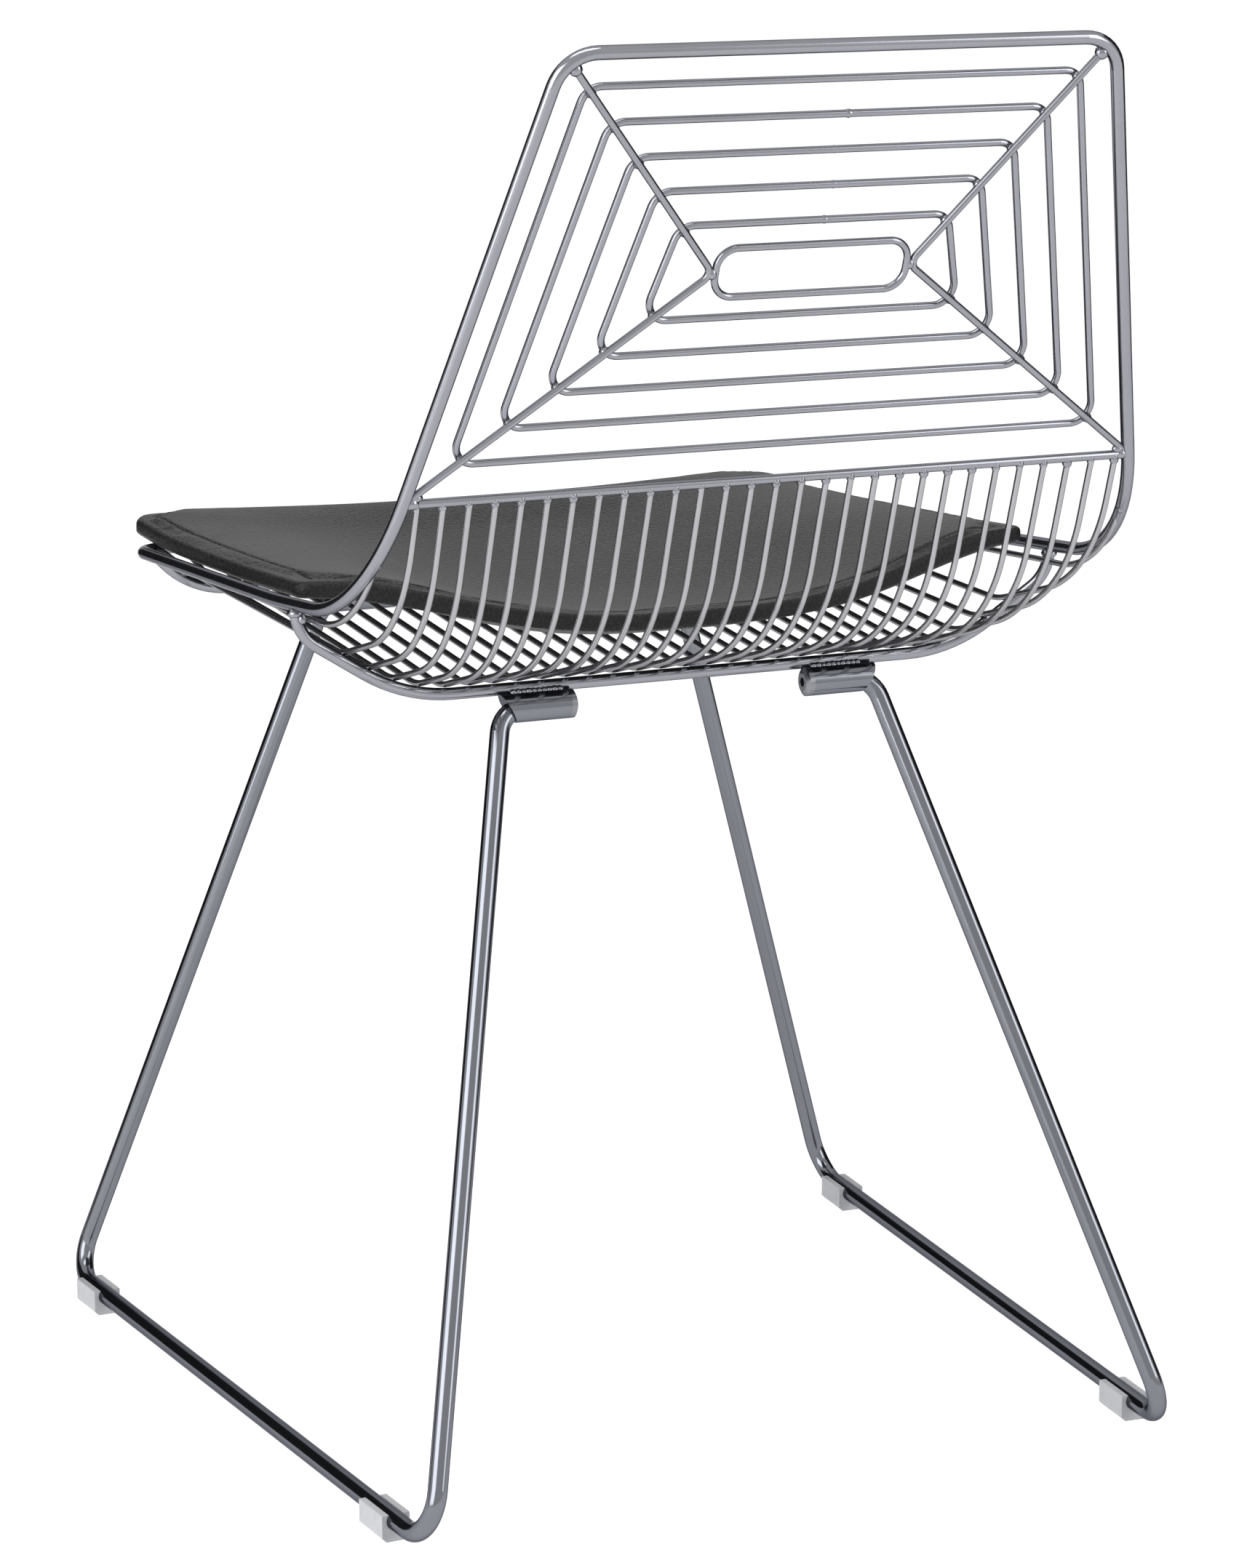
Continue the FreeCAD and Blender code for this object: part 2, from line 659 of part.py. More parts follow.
def glide(label, sign, station):
    body = add_body(label)
    section = add_sketch(body, "section", "XZ_Plane")
    wide = "Sizes.glide_width / 2"
    bevel = "Sizes.glide_bevel"
    add_outline(section, [("-(%s) + %s" % (wide, bevel), "0"), (wide + " - " + bevel, "0"),
                          (wide, bevel), (wide, "Sizes.glide_rise"),
                          ("-(%s)" % wide, "Sizes.glide_rise"), ("-(%s)" % wide, bevel)])
    block = body.newObject("PartDesign::Pad", label + "_block")
    block.Profile = section
    block.setExpression("Length", "Sizes.glide_length")
    block.Midplane = True
    channel = add_sketch(body, "channel", "XZ_Plane")
    add_circle(channel, "0", "Sizes.runner_height", "Sizes.leg_rod / 2 + Sizes.glide_grip_gap")
    cut = body.newObject("PartDesign::Pocket", label + "_channel")
    cut.Profile = channel
    cut.Type = "ThroughAll"
    cut.Midplane = True
    half = "(Sizes.foot_front_half - (%s + Sizes.foot_front_reach) * %s)" % (station, runner_lean)
    body.Placement = Placement(Vector(), Rotation(Vector(0, 0, 1), sheet.evalExpression(runner_turn)))
    body.setExpression("Placement.Base.x", "%d * %s" % (sign, half))
    body.setExpression("Placement.Base.y", station)
    body.setExpression("Placement.Rotation.Angle", "%d * %s" % (sign, runner_turn))


for side, sign in (("left", 1), ("right", -1)):
    glide("glide_front_" + side, sign, "-Sizes.glide_front_reach")
    glide("glide_rear_" + side, sign, "Sizes.glide_rear_back")


# Seat pad: a thin cushion that sags between the side rails; three layers share their faces

def pad_outline(height):
    front = -size("pad_front_reach")
    points = [Vector(0, front, height),
              Vector(size("pad_front_half"), front, height),
              Vector(size("pad_rear_half"), size("pad_rear_side_back"), height),
              Vector(size("pad_rear_flat"), size("pad_rear_back"), height),
              Vector(0, size("pad_rear_back"), height)]
    bends = [size(name) for name in ("pad_front_corner", "pad_rear_corner", "pad_rear_bend")]
    half = bent_path(points, bends)
    return Part.Wire(half.Edges + mirrored(half).Edges[::-1])


def smooth_through(stations, heights, y):
    """A smooth curve through heights given at stations."""
    for start in range(len(stations) - 1):
        if y <= stations[start + 1] or start == len(stations) - 2:
            break
    slopes = []
    for at in (start, start + 1):
        low = max(at - 1, 0)
        high = min(at + 1, len(stations) - 1)
        slopes.append((heights[high] - heights[low]) / (stations[high] - stations[low]))
    span = stations[start + 1] - stations[start]
    u = (y - stations[start]) / span
    return (heights[start] * (2 * u ** 3 - 3 * u ** 2 + 1) + slopes[0] * span * (u ** 3 - 2 * u ** 2 + u)
            + heights[start + 1] * (3 * u ** 2 - 2 * u ** 3) + slopes[1] * span * (u ** 3 - u ** 2))


def pad_underside(x, y):
    front = -size("pad_front_reach")
    back = size("pad_rear_back")
    over_rail = size("rim_front_height") + size("frame_rod") / 2 + size("pad_over_rail_gap")
    middle = smooth_through(
        [front, rim_front.y, front_y, -size("pad_thigh_reach"), -size("pad_hollow_reach"),
         size("pad_rear_hollow_back"), back],
        [size("pad_front_lip"), over_rail, size("pad_behind_rail"), size("pad_front_thigh"),
         size("pad_hollow"), size("pad_rear_hollow"), size("pad_rear_edge")], y)
    side = smooth_through(
        [front, front_y, -size("pad_side_middle_reach"), size("pad_rear_side_back"), back],
        [size("pad_side_front"), size("pad_side_thigh"), size("pad_side_middle"),
         size("pad_side_rear"), size("pad_side_end")], y)
    half = size("pad_front_half") + (size("pad_rear_half") - size("pad_front_half")) * (
        (y - front) / (back - front))
    share = (1 - math.cos(math.pi * min(abs(x) / half, 1))) / 2
    return middle + (side - middle) * share ** 1.5


def pad_thickness(x, y):
    front = -size("pad_front_reach")
    back = size("pad_rear_back")
    inset = min(size("pad_front_half") - abs(x), y - front, back - y)
    share = max(0.0, min(1.0, inset / size("pad_crown_run")))
    return size("pad_edge") + size("pad_crown") * math.sin(share * math.pi / 2)


PAD_STEPS = 24
PAD_MARGIN = 12.0


def under_surface(height_at):
    """Everything below a smooth surface, over more ground than the pad covers."""
    half = size("pad_rear_half") + PAD_MARGIN
    front = -size("pad_front_reach") - PAD_MARGIN
    back = size("pad_rear_back") + PAD_MARGIN
    grid = []
    for row in range(PAD_STEPS + 1):
        x = -half + 2 * half * row / PAD_STEPS
        line = []
        for column in range(PAD_STEPS + 1):
            y = front + (back - front) * column / PAD_STEPS
            line.append(Vector(x, y, height_at(x, y)))
        grid.append(line)
    surface = Part.BSplineSurface()
    surface.interpolate(grid)
    return surface.toShape().extrude(Vector(0, 0, -size("belt_height") / 4))


pad_floor = size("pad_hollow") - 4 * size("pad_edge")
prism = Part.Face(pad_outline(pad_floor)).extrude(Vector(0, 0, size("belt_height") - pad_floor))
levels = [under_surface(pad_underside),
          under_surface(lambda x, y: pad_underside(x, y) + size("pad_skin")),
          under_surface(lambda x, y: pad_underside(x, y) + pad_thickness(x, y) - size("pad_skin")),
          under_surface(lambda x, y: pad_underside(x, y) + pad_thickness(x, y))]
whole_pad = prism.common(levels[3]).cut(levels[0]).Solids[0]
for place, label in enumerate(("pad_bottom_cover", "pad_foam", "pad_top_cover")):
    layer = whole_pad
    if place < 2:
        layer = layer.common(levels[place + 1])
    if place > 0:
        layer = layer.cut(levels[place])
    add_feature(label, layer)


# Write every piece

doc.recompute()
for label, node in nodes.items():
    shape = node.Shape
    if shape.isNull() or not shape.isValid():
        raise ValueError("bad shape: " + label)
for item in doc.Objects:
    if "Invalid" in item.State or "Error" in item.State:
        raise ValueError("bad object: " + item.Label)

os.makedirs("parts", exist_ok=True)
for label, node in nodes.items():
    node.Shape.exportStep("parts/%s.step" % label)
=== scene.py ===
import math

import bpy
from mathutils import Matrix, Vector


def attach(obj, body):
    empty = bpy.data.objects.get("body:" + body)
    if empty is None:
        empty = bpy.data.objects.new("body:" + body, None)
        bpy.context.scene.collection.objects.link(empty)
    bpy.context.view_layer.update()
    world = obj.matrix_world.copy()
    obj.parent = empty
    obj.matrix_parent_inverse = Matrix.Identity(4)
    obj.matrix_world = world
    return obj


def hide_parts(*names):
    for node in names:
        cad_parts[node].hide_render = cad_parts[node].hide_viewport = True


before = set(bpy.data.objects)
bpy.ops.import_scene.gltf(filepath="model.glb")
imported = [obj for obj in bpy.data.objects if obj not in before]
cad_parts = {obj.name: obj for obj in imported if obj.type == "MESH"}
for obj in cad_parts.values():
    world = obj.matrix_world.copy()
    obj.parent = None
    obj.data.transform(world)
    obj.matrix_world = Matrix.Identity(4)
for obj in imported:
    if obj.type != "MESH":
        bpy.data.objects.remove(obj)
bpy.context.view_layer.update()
print("frame loaded:", len(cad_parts), "nodes")

mm = 0.001


def hexToLinear(text):
    channels = []
    for i in (0, 2, 4):
        c = int(text.lstrip("#")[i:i + 2], 16) / 255
        channels.append(c / 12.92 if c <= 0.04045 else ((c + 0.055) / 1.055) ** 2.4)
    return (*channels, 1.0)


def addNode(tree, kind, settings=None, inputs=None):
    # one node with its settings; an input is a value, or the socket that feeds it
    node = tree.nodes.new(kind)
    for name, value in (settings or {}).items():
        setattr(node, name, value)
    for name, value in (inputs or {}).items():
        if isinstance(value, bpy.types.NodeSocket):
            tree.links.new(value, node.inputs[name])
        else:
            node.inputs[name].default_value = value
    return node


def linkObject(name, mesh):
    piece = bpy.data.objects.new(name, mesh)
    bpy.context.scene.collection.objects.link(piece)
    return piece


# Camera, at the photograph's angle

photoView = {
    "azimuth": 155.99, "elevation": 12.75, "distance": 2.7746,
    "lookAt": (-0.00227, -0.01148, 0.3547),
    "lens": 109.2, "sensor": 36.0,
}


def addCamera():
    a, e = math.radians(photoView["azimuth"]), math.radians(photoView["elevation"])
    away = Vector((math.sin(a) * math.cos(e), -math.cos(a) * math.cos(e), math.sin(e)))
    data = bpy.data.cameras.new("photoCamera")
    data.sensor_width = photoView["sensor"]
    data.lens = photoView["lens"]
    camera = linkObject("photoCamera", data)
    camera.location = Vector(photoView["lookAt"]) + away * photoView["distance"]
    camera.rotation_euler = (-away).to_track_quat("-Z", "Y").to_euler()
    bpy.context.scene.camera = camera


addCamera()

# Studio: a pale floor, a pale surround and soft lamps

studio = {
    "floorColour": "#f4f4f4", "floorHalf": 6.0, "surround": 0.2, "floorGlow": 0.8,
    "lamps": [
        # name, place, aim, size across and up, watts
        ("overhead", (0.3, 0.5, 2.7), (0, 0, 0.4), (1.7, 0.8), 16.0),
        ("leftBox", (2.5, 0.9, 1.3), (0, 0, 0.4), (2.0, 2.2), 54.0),
        ("rightBox", (-1.9, 2.2, 1.5), (0, 0, 0.4), (1.1, 2.0), 24.0),
    ],
    # dark cards behind the chair: the rods mirror them as thin dark edges
    "cards": [((1.36, -2.04, 1.2), (3.0, 2.4)), ((-2.42, -0.35, 1.2), (3.0, 2.4))],
    "cardColour": "#0c0c0d",
}


def seenByEye(tree):
    # camera, mirror and glass rays, which show the white of the studio itself
    path = addNode(tree, "ShaderNodeLightPath")
    pair = addNode(tree, "ShaderNodeMath", {"operation": "MAXIMUM"},
                   {0: path.outputs["Is Camera Ray"], 1: path.outputs["Is Transmission Ray"]})
    return addNode(tree, "ShaderNodeMath", {"operation": "MAXIMUM"},
                   {0: pair.outputs[0], 1: path.outputs["Is Glossy Ray"]})


def addStudio():
    world = bpy.data.worlds.new("paleSurround")
    bpy.context.scene.world = world
    world.use_nodes = True
    tree = world.node_tree
    tree.nodes.clear()
    seen = seenByEye(tree)
    strength = addNode(tree, "ShaderNodeMapRange", None,
                       {"Value": seen.outputs[0], "To Min": studio["surround"], "To Max": 1.0})
    glow = addNode(tree, "ShaderNodeBackground", None,
                   {"Color": (1, 1, 1, 1), "Strength": strength.outputs[0]})
    addNode(tree, "ShaderNodeOutputWorld", None, {"Surface": glow.outputs[0]})

    floorMesh = bpy.data.meshes.new("studioFloor")
    r = studio["floorHalf"]
    floorMesh.from_pydata([(-r, -r, 0), (r, -r, 0), (r, r, 0), (-r, r, 0)], [], [(0, 1, 2, 3)])
    floor = linkObject("studioFloor", floorMesh)
    paint = bpy.data.materials.new("paleFloorPaint")
    paint.use_nodes = True
    body = paint.node_tree.nodes["Principled BSDF"]
    body.inputs["Base Color"].default_value = hexToLinear(studio["floorColour"])
    body.inputs["Roughness"].default_value = 0.9
    body.inputs["Specular IOR Level"].default_value = 0.1
    body.inputs["Emission Color"].default_value = (1, 1, 1, 1)
    seen = seenByEye(paint.node_tree)
    glow = addNode(paint.node_tree, "ShaderNodeMath", {"operation": "MULTIPLY"},
                   {0: seen.outputs[0], 1: studio["floorGlow"]})
    paint.node_tree.links.new(glow.outputs[0], body.inputs["Emission Strength"])
    floorMesh.materials.append(paint)

    felt = bpy.data.materials.new("blackFelt")
    felt.use_nodes = True
    feltBody = felt.node_tree.nodes["Principled BSDF"]
    feltBody.inputs["Base Color"].default_value = hexToLinear(studio["cardColour"])
    feltBody.inputs["Roughness"].default_value = 0.95
    for k, (place, (wide, high)) in enumerate(studio["cards"]):
        cardMesh = bpy.data.meshes.new("darkCard")
        w, h = wide / 2, high / 2
        cardMesh.from_pydata([(-w, 0, -h), (w, 0, -h), (w, 0, h), (-w, 0, h)], [], [(0, 1, 2, 3)])
        cardMesh.materials.append(felt)
        card = linkObject("darkCard%d" % k, cardMesh)
        card.location = place
        card.rotation_euler = (0, 0, math.atan2(place[1], place[0]) + math.pi / 2)
        card.visible_camera = False  # only the rods' reflections show it, from whatever side

    for name, place, aim, across, watts in studio["lamps"]:
        data = bpy.data.lights.new(name, "AREA")
        data.shape = "RECTANGLE"
        data.size, data.size_y = across
        data.energy = watts
        lamp = linkObject(name, data)
        lamp.location = place
        turn = Vector(aim) - Vector(place)
        lamp.rotation_euler = turn.to_track_quat("-Z", "Y").to_euler()
    bpy.context.scene.view_settings.view_transform = "Standard"


addStudio()
print("camera and studio ready")


# Materials

def newMaterial(name):
    material = bpy.data.materials.new(name)
    material.use_nodes = True
    tree = material.node_tree
    tree.nodes.clear()
    shader = addNode(tree, "ShaderNodeBsdfPrincipled")
    addNode(tree, "ShaderNodeOutputMaterial", None, {"Surface": shader.outputs[0]})
    return material, tree, shader


def feed(tree, socket, value):
    if isinstance(value, bpy.types.NodeSocket):
        tree.links.new(value, socket)
    else:
        socket.default_value = value


def coatedSteel(name, pale, dark, metallic, roughness, grain):
    # drawn steel rod under a satin graphite lacquer: a mirror a little blurred, with slow
    # changes of tone of about 40 mm and a faint orange peel of a few millimetres
    material, tree, shader = newMaterial(name)
    coords = addNode(tree, "ShaderNodeTexCoord")
    patches = addNode(tree, "ShaderNodeTexNoise", None,
                      {"Vector": coords.outputs["Object"], "Scale": 24.0, "Detail": 3.0})
    mix = addNode(tree, "ShaderNodeMix", {"data_type": "RGBA"}, {0: patches.outputs[0]})
    mix.inputs[6].default_value = hexToLinear(dark)
    mix.inputs[7].default_value = hexToLinear(pale)
    feed(tree, shader.inputs["Base Color"], mix.outputs[2])
    rough = addNode(tree, "ShaderNodeMapRange", None,
                    {"Value": patches.outputs[0], "To Min": roughness - 0.02,
                     "To Max": roughness + 0.03})
    feed(tree, shader.inputs["Roughness"], rough.outputs[0])
    shader.inputs["Metallic"].default_value = metallic
    shader.inputs["Specular Tint"].default_value = hexToLinear("#a0a0a4")
    peel = addNode(tree, "ShaderNodeTexNoise", None,
                   {"Vector": coords.outputs["Object"], "Scale": 1 / (grain * mm), "Detail": 2.0})
    bump = addNode(tree, "ShaderNodeBump", None,
                   {"Height": peel.outputs[0], "Strength": 0.05, "Distance": 0.04 * mm})
    feed(tree, shader.inputs["Normal"], bump.outputs[0])
    return material


def milkyNylon():
    # injection moulded unfilled nylon: milky, lets a little light through, soft sheen,
    # clouded every 5 mm or so
    material, tree, shader = newMaterial("milkyNylon")
    coords = addNode(tree, "ShaderNodeTexCoord")
    cloud = addNode(tree, "ShaderNodeTexNoise", None,
                    {"Vector": coords.outputs["Object"], "Scale": 180.0, "Detail": 2.0})
    mix = addNode(tree, "ShaderNodeMix", {"data_type": "RGBA"}, {0: cloud.outputs[0]})
    mix.inputs[6].default_value = hexToLinear("#c2c3c7")
    mix.inputs[7].default_value = hexToLinear("#d3d4d8")
    feed(tree, shader.inputs["Base Color"], mix.outputs[2])
    shader.inputs["Roughness"].default_value = 0.42
    shader.inputs["Subsurface Weight"].default_value = 0.25
    shader.inputs["Subsurface Radius"].default_value = (0.004, 0.004, 0.004)
    shader.inputs["IOR"].default_value = 1.53
    bump = addNode(tree, "ShaderNodeBump", None,
                   {"Height": cloud.outputs[0], "Strength": 0.1, "Distance": 0.1 * mm})
    feed(tree, shader.inputs["Normal"], bump.outputs[0])
    return material


def pebbleLeather(name, pale, dark, relief):
    # embossed imitation leather: pebbles drawn at about 2 mm, a little coarser than the real ones, so
    # that they show; the creases between them are painted darker as shade, and slow patches vary the
    # tone at random
    material, tree, shader = newMaterial(name)
    coords = addNode(tree, "ShaderNodeTexCoord")
    warp = addNode(tree, "ShaderNodeTexNoise", None,
                   {"Vector": coords.outputs["Object"], "Scale": 300.0, "Detail": 2.0})
    shifted = addNode(tree, "ShaderNodeVectorMath", {"operation": "MULTIPLY_ADD"},
                      {0: warp.outputs["Color"], 1: (0.0012, 0.0012, 0.0012),
                       2: coords.outputs["Object"]})
    pebbles = addNode(tree, "ShaderNodeTexVoronoi", {"feature": "SMOOTH_F1"},
                      {"Vector": shifted.outputs[0], "Scale": 1 / (1.9 * mm), "Smoothness": 0.3})
    patches = addNode(tree, "ShaderNodeTexNoise", None,
                      {"Vector": coords.outputs["Object"], "Scale": 14.0, "Detail": 3.0})
    # painted shade: the distance from each pebble's middle darkens the colour into the creases, and the
    # slow patches add random tone
    creaseShadeAndTone = addNode(tree, "ShaderNodeMath", {"operation": "MULTIPLY_ADD"},
                   {0: pebbles.outputs["Distance"], 1: 1.5, 2: patches.outputs[0]})
    ramp = addNode(tree, "ShaderNodeMapRange", None,
                   {"Value": creaseShadeAndTone.outputs[0], "From Min": 0.55, "From Max": 1.35,
                    "To Min": 1.0, "To Max": 0.0})
    mix = addNode(tree, "ShaderNodeMix", {"data_type": "RGBA"}, {0: ramp.outputs[0]})
    mix.inputs[6].default_value = hexToLinear(dark)
    mix.inputs[7].default_value = hexToLinear(pale)
    feed(tree, shader.inputs["Base Color"], mix.outputs[2])
    shader.inputs["Roughness"].default_value = 0.5
    shader.inputs["Specular IOR Level"].default_value = 0.25
    bump = addNode(tree, "ShaderNodeBump", {"invert": True},
                   {"Height": pebbles.outputs["Distance"], "Strength": relief, "Distance": 0.6 * mm})
    feed(tree, shader.inputs["Normal"], bump.outputs[0])
    return material


frameCoat = coatedSteel("graphiteLacqueredFrame", "#8f9096", "#85868c", 0.97, 0.16, 4.0)
wireCoat = coatedSteel("graphiteLacqueredWire", "#a4a4a7", "#9a9a9d", 0.93, 0.18, 4.0)
legCoat = coatedSteel("graphiteLacqueredLeg", "#77797f", "#6e7076", 0.98, 0.14, 5.0)
capCoat = coatedSteel("turnedSteelCap", "#86878c", "#77787d", 0.96, 0.24, 2.0)
nylon = milkyNylon()
# the dark colour here is painted shade in the creases between the pebbles
fieldLeather = pebbleLeather("charcoalPebbleLeather", "#3d3d3f", "#0e0e0f", 1.0)
# painted shade: a darker copy of the pebble leather for the pad's side lip and underside, which face
# away from the lamps
sideShadeLeather = pebbleLeather("paintedShadeSideLeather", "#2c2c2d", "#151516", 0.5)


def spunThread():
    # bonded polyester thread: fine twist lines and a dry sheen
    material, tree, shader = newMaterial("bondedPolyesterThread")
    coords = addNode(tree, "ShaderNodeTexCoord")
    twist = addNode(tree, "ShaderNodeTexWave", None,
                    {"Vector": coords.outputs["Object"], "Scale": 1 / (1.2 * mm), "Distortion": 1.5})
    mix = addNode(tree, "ShaderNodeMix", {"data_type": "RGBA"}, {0: twist.outputs["Fac"]})
    mix.inputs[6].default_value = hexToLinear("#3c3c3d")
    mix.inputs[7].default_value = hexToLinear("#6a6a6b")
    feed(tree, shader.inputs["Base Color"], mix.outputs[2])
    shader.inputs["Roughness"].default_value = 0.6
    shader.inputs["Sheen Weight"].default_value = 0.2
    return material


thread = spunThread()


def dress(node, material):
    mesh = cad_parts[node].data
    mesh.materials.clear()
    mesh.materials.append(material)


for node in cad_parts:
    if node.startswith(("seat_wire", "rim_wire")):
        dress(node, wireCoat)
    elif node.startswith(("leg_frame", "leg_socket")):
        dress(node, legCoat)
    elif node.startswith("glide"):
        dress(node, nylon)
    elif node.startswith("socket_cap"):
        dress(node, capCoat)
    elif not node.startswith("pad"):
        dress(node, frameCoat)
print("materials ready")

# Seat pad

pad = {
    "frontReach": 272.5, "frontHalf": 215.5, "rearHalf": 226.0, "rearSideBack": 57.0,
    "rearFlat": 95.0, "rearBack": 93.5, "frontCorner": 24.0, "rearCorner": 10.0, "rearBend": 180.0,
    "edge": 9.6, "crown": 2.9, "crownRun": 70.0, "shrink": 0.6,
    "stations": [(-272.5, 472.0), (-248.5, 475.2), (-194.5, 464.8), (-90.5, 456.0),
                 (-12.5, 453.0), (48.5, 457.0), (93.5, 466.8)],
    "sideStations": [(-272.5, 479.4), (-194.5, 479.0), (-52.5, 485.4), (57.0, 492.8), (93.5, 494.0)],
    "seamDepth": 1.5, "puffLimit": 2.5, "simFrames": 16,
    "arcSteps": 8, "runCounts": [60, 16, 20, 16, 60, 68],  # right side, slope, rear, slope, left, front
    "lipRadius": 3.4, "lipSteps": 6,
    "ringInsets": [5.5, 8.0, 10.2, 11.3, 12.0, 12.7, 13.8, 16.0, 19.0, 22.5],
    "seamRing": 11,  # the ring that lies 12 mm from the edge
    "stitchPitch": 4.2, "stitchSize": (1.5, 0.42, 0.34), "stitchLift": 0.15,
    "stitchInset": 9.6, "stitchVariation": 0.08,
}


def smoothThrough(stations, y):
    i = 0
    while i < len(stations) - 2 and y > stations[i + 1][0]:
        i += 1
    slopes = []
    for at in (i, i + 1):
        low, high = stations[max(at - 1, 0)], stations[min(at + 1, len(stations) - 1)]
        slopes.append((high[1] - low[1]) / (high[0] - low[0]))
    (y0, z0), (y1, z1) = stations[i], stations[i + 1]
    span = y1 - y0
    u = (y - y0) / span
    return (z0 * (2 * u ** 3 - 3 * u ** 2 + 1) + slopes[0] * span * (u ** 3 - 2 * u ** 2 + u)
            + z1 * (3 * u ** 2 - 2 * u ** 3) + slopes[1] * span * (u ** 3 - u ** 2))


def padUnderside(x, y):
    middle = smoothThrough(pad["stations"], y)
    side = smoothThrough(pad["sideStations"], y)
    share = (y + pad["frontReach"]) / (pad["rearBack"] + pad["frontReach"])
    half = pad["frontHalf"] + (pad["rearHalf"] - pad["frontHalf"]) * share
    rise = (1 - math.cos(math.pi * min(abs(x) / half, 1))) / 2
    return middle + (side - middle) * rise ** 1.5


def padThickness(x, y):
    inset = min(pad["frontHalf"] - abs(x), y + pad["frontReach"], pad["rearBack"] - y)
    share = max(0.0, min(1.0, inset / pad["crownRun"]))
    return pad["edge"] + pad["crown"] * math.sin(share * math.pi / 2)


def padRing(inset):
    # the outline drawn in by inset: the same number of points on each run and arc
    right = [(pad["frontHalf"], -pad["frontReach"], pad["frontCorner"]),
             (pad["rearHalf"], pad["rearSideBack"], pad["rearCorner"]),
             (pad["rearFlat"], pad["rearBack"], pad["rearBend"])]
    corners = right + [(-x, y, radius) for x, y, radius in reversed(right)]
    steps = pad["arcSteps"]
    places = [Vector((c[0], c[1])) for c in corners]
    moved = []
    for i, place in enumerate(places):
        before = (place - places[i - 1]).normalized()
        after = (places[(i + 1) % 6] - place).normalized()
        n0, n1 = Vector((-before.y, before.x)), Vector((-after.y, after.x))
        bisector = (n0 + n1) / (1 + n0.dot(n1))
        moved.append(place + bisector * inset)
    arcs = []
    for i, place in enumerate(moved):
        before = (place - moved[i - 1]).normalized()
        after = (moved[(i + 1) % 6] - place).normalized()
        turn = before.angle(after)
        radius = max(corners[i][2] - inset, 1.5)
        tangent = radius * math.tan(turn / 2)
        inward = Vector((-before.y, before.x))
        centre = place - before * tangent + inward * radius
        start = math.atan2(-inward.y, -inward.x)
        angles = [start + turn * k / steps for k in range(steps + 1)]
        arcs.append([centre + Vector((math.cos(a), math.sin(a))) * radius for a in angles])
    ring = []
    for i, arc in enumerate(arcs):
        ring += arc[:-1]
        end = arcs[(i + 1) % 6][0]
        count = pad["runCounts"][i]
        ring += [arc[-1].lerp(end, k / count) for k in range(count)]
    return ring


def padMesh():
    # rings from the middle of the edge inwards on both faces, closed by a grid in the middle
    r = pad["lipRadius"]
    edge = []
    for k in range(pad["lipSteps"] + 1):
        angle = math.pi / 2 * k / pad["lipSteps"]
        edge.append((r * (1 - math.cos(angle)), r * (1 - math.sin(angle))))
    flats = pad["ringInsets"]
    mesh = bpy.data.meshes.new("padCover")
    verts, faces = [], []
    count = len(padRing(0))

    def addRing(inset, top, drop):
        start = len(verts)
        for p in padRing(inset + pad["shrink"]):
            low = padUnderside(p.x, p.y)
            high = low + padThickness(p.x, p.y)
            verts.append((p.x * mm, p.y * mm, (high - drop if top else low + drop) * mm))
        return start

    def bridge(a, b, flip):
        for k in range(count):
            n = (k + 1) % count
            quad = (a + k, a + n, b + n, b + k)
            faces.append(quad[::-1] if flip else quad)

    insets = edge + [(d, 0.0) for d in flats]
    tops = [addRing(d, True, drop) for d, drop in insets]
    lows = [addRing(d, False, drop) for d, drop in insets]
    bridge(lows[0], tops[0], False)
    for a, b in zip(tops, tops[1:]):
        bridge(a, b, False)
    for a, b in zip(lows, lows[1:]):
        bridge(a, b, True)

    # four sides of the inner ring, from mid-corner to mid-corner
    starts = [sum(pad["runCounts"][:i]) + pad["arcSteps"] * i for i in (0, 1, 4, 5)]
    marks = [start + pad["arcSteps"] // 2 for start in starts]
    ring = padRing(flats[-1] + pad["shrink"])
    right = list(range(marks[0], marks[1] + 1))
    rear = list(range(marks[1], marks[2] + 1))
    left = list(range(marks[2], marks[3] + 1))[::-1]
    front = [i % count for i in range(marks[3], count + marks[0] + 1)]
    rear = rear[::-1]
    nu, nv = len(front) - 1, len(right) - 1
    for top, base in ((True, tops[-1]), (False, lows[-1])):
        grid = {}
        for i in range(nu + 1):
            for j in range(nv + 1):
                u, v = i / nu, j / nv
                if j == 0:
                    grid[i, j] = base + front[i]
                elif j == nv:
                    grid[i, j] = base + rear[i]
                elif i == 0:
                    grid[i, j] = base + left[j]
                elif i == nu:
                    grid[i, j] = base + right[j]
                else:
                    f, b = ring[front[i]], ring[rear[i]]
                    l, g = ring[left[j]], ring[right[j]]
                    p = (f * (1 - v) + b * v + l * (1 - u) + g * u
                         - ring[front[0]] * (1 - u) * (1 - v) - ring[front[nu]] * u * (1 - v)
                         - ring[rear[0]] * (1 - u) * v - ring[rear[nu]] * u * v)
                    low = padUnderside(p.x, p.y)
                    z = low + padThickness(p.x, p.y) if top else low
                    grid[i, j] = len(verts)
                    verts.append((p.x * mm, p.y * mm, z * mm))
        for i in range(nu):
            for j in range(nv):
                quad = (grid[i, j], grid[i + 1, j], grid[i + 1, j + 1], grid[i, j + 1])
                faces.append(quad if top else quad[::-1])
    mesh.from_pydata(verts, [], faces)
    mesh.validate()
    return mesh, tops, count


